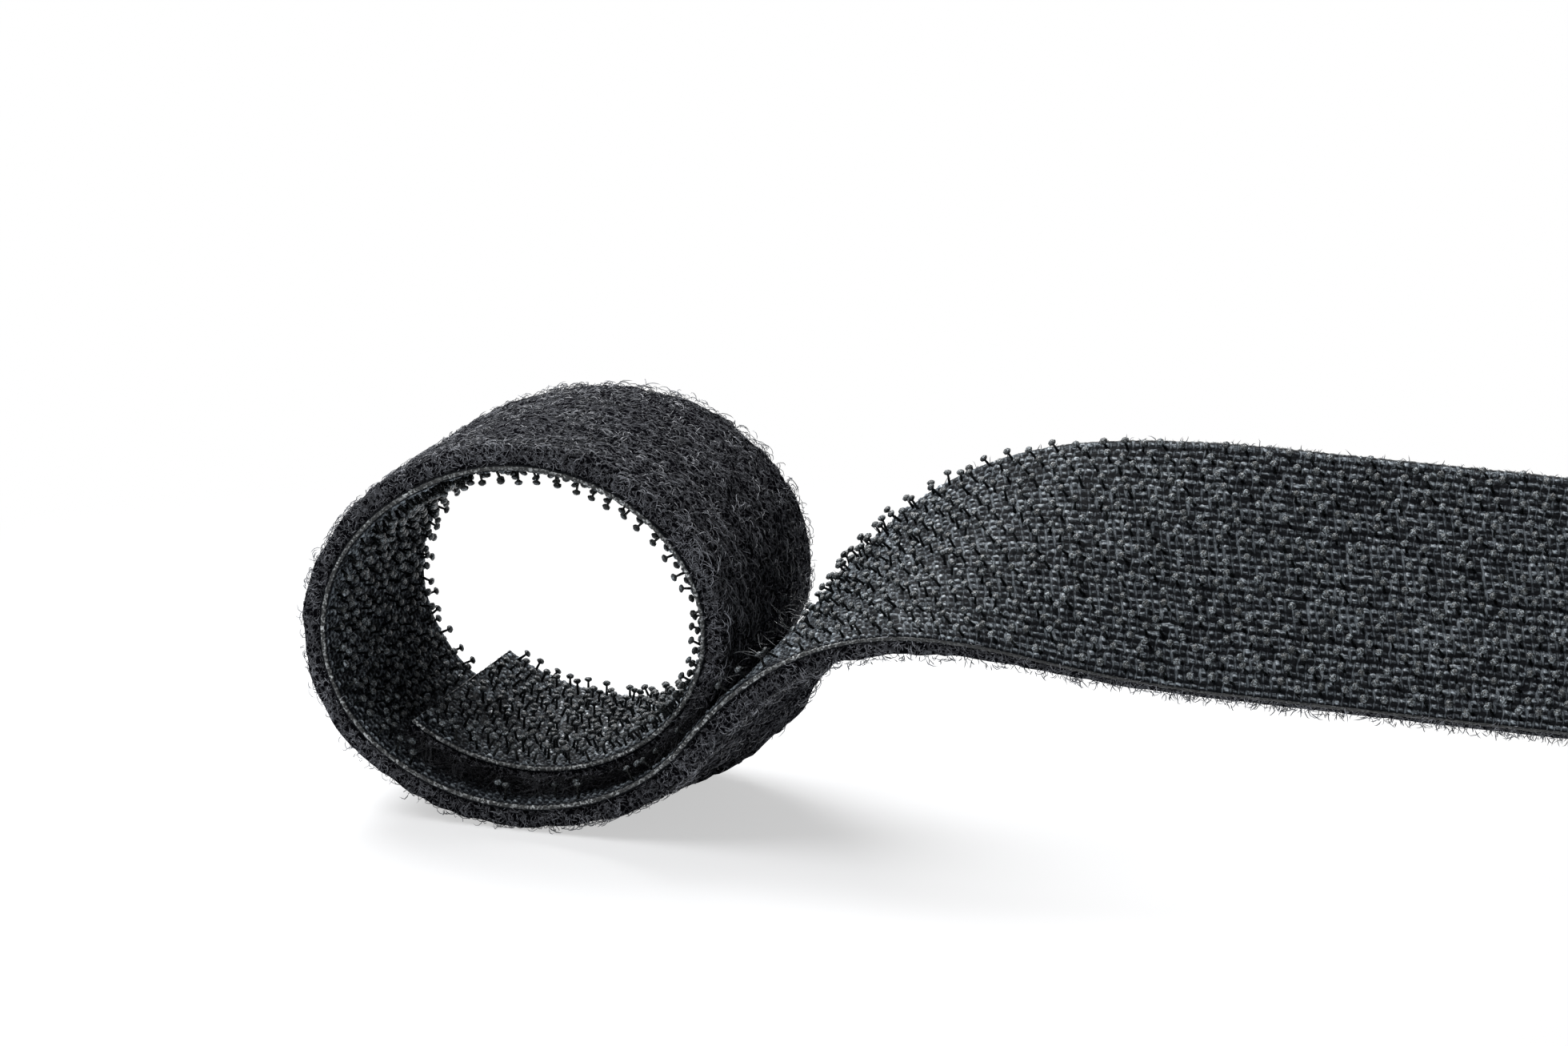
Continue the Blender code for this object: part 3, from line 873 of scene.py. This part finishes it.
# Stray fibres: single finer filaments that have worked loose along both edges of the pile. They are
# nylon too, and only their feet still hold in the knitted ground.
STRAYS = 480
rng = np.random.default_rng(61)
edge = np.sign(rng.uniform(-1.0, 1.0, STRAYS))
strays = grow_fibres(
    "stray_fibres",
    seed=62,
    distance=rng.uniform(0.0, TAPE_LENGTH, STRAYS),
    side=edge * (HALF - 0.1 * MM),
    root=rng.uniform(-0.2, 0.9, STRAYS) * MM,
    length=rng.uniform(0.4, 0.9, STRAYS) * MM,
    pitches=(rng.uniform(-0.8, 1.3, STRAYS), rng.uniform(-2.2, 2.6, STRAYS)),
    heading=edge * math.pi / 2 + rng.uniform(-1.4, 1.4, STRAYS),
    swerve=rng.uniform(-3.0, 3.0, STRAYS),
    radius=np.full(STRAYS, 0.016 * MM),
    spill=FREE_SPILL,
)
strays.data.materials.append(pile_nylon.material)
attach(strays, "root")
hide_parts("loop_tape")

# Caught loops: the second turn overlaps the first one sideways, and its hooks there have drawn fibres
# out of the first turn's edge. They lie across the overlap as a dark mat.
CAUGHT = 900
rng = np.random.default_rng(71)
caught_loops = grow_fibres(
    "caught_loops",
    seed=72,
    distance=rng.uniform(0.2, 16.5, CAUGHT) * MM,
    side=rng.uniform(0.0, 0.25, CAUGHT) * MM - HALF,
    root=rng.uniform(0.10, 0.75, CAUGHT) * MM,
    length=rng.uniform(0.8, 2.1, CAUGHT) * MM,
    pitches=(rng.uniform(-0.2, 0.9, CAUGHT), rng.uniform(-0.6, 0.7, CAUGHT)),
    heading=-math.pi / 2 + rng.uniform(-0.9, 0.9, CAUGHT),
    swerve=rng.uniform(-1.0, 1.0, CAUGHT),
    radius=rng.uniform(0.014, 0.020, CAUGHT) * MM,
    spill=1.5 * MM,
)
felted = Finish("felted_nylon", {"Roughness": 0.7, "Specular IOR Level": 0.1})
# The caught loops are near-black, the pile's painted shade, with a few paler by their random and tuft shade.
felted_colour = felted.mix(attribute(felted, "shade") ** 3, low=PILE_PAINTED_SHADE, high=(0.11, 0.115, 0.125))
felted.plug(felted.shader.inputs["Base Color"], felted_colour)
caught_loops.data.materials.append(felted.material)
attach(caught_loops, "root")
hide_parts("loop_tape")

# Drawn fibres: where the strap peels off the first turn, single loops still hang on the hooks and are
# pulled straight between the hooks and the pile.
DRAWN = 90
rng = np.random.default_rng(81)
drawn_fibres = grow_fibres(
    "drawn_fibres",
    seed=82,
    distance=RING_LENGTH + rng.uniform(1.2, 7.5, DRAWN) * MM,
    side=rng.uniform(-1.0, 0.2, DRAWN) * (HALF - 0.2 * MM),
    root=rng.uniform(-1.05, -0.45, DRAWN) * MM,
    length=rng.uniform(0.5, 1.5, DRAWN) * MM,
    pitches=(rng.uniform(-1.3, -0.2, DRAWN), rng.uniform(-1.6, 0.6, DRAWN)),
    heading=math.pi + rng.uniform(-1.4, 1.4, DRAWN),
    swerve=rng.uniform(-1.6, 1.6, DRAWN),
    radius=rng.uniform(0.010, 0.015, DRAWN) * MM,
    spill=RING_SPILL,
)
drawn_nylon = Finish("drawn_nylon", {"Roughness": 0.25})
# The pale streaks along the drawn fibres are painted glints.
streaks = drawn_nylon.noise(drawn_nylon.place(), scale=2500.0, detail=2.0)
painted_streak_glint = drawn_nylon.step(streaks, low=0.35, high=0.65)
drawn_colour = drawn_nylon.mix(painted_streak_glint, low=(0.02, 0.022, 0.024), high=(0.19, 0.20, 0.21))
drawn_nylon.plug(drawn_nylon.shader.inputs["Base Color"], drawn_colour)
drawn_fibres.data.materials.append(drawn_nylon.material)
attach(drawn_fibres, "root")
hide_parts("loop_tape")
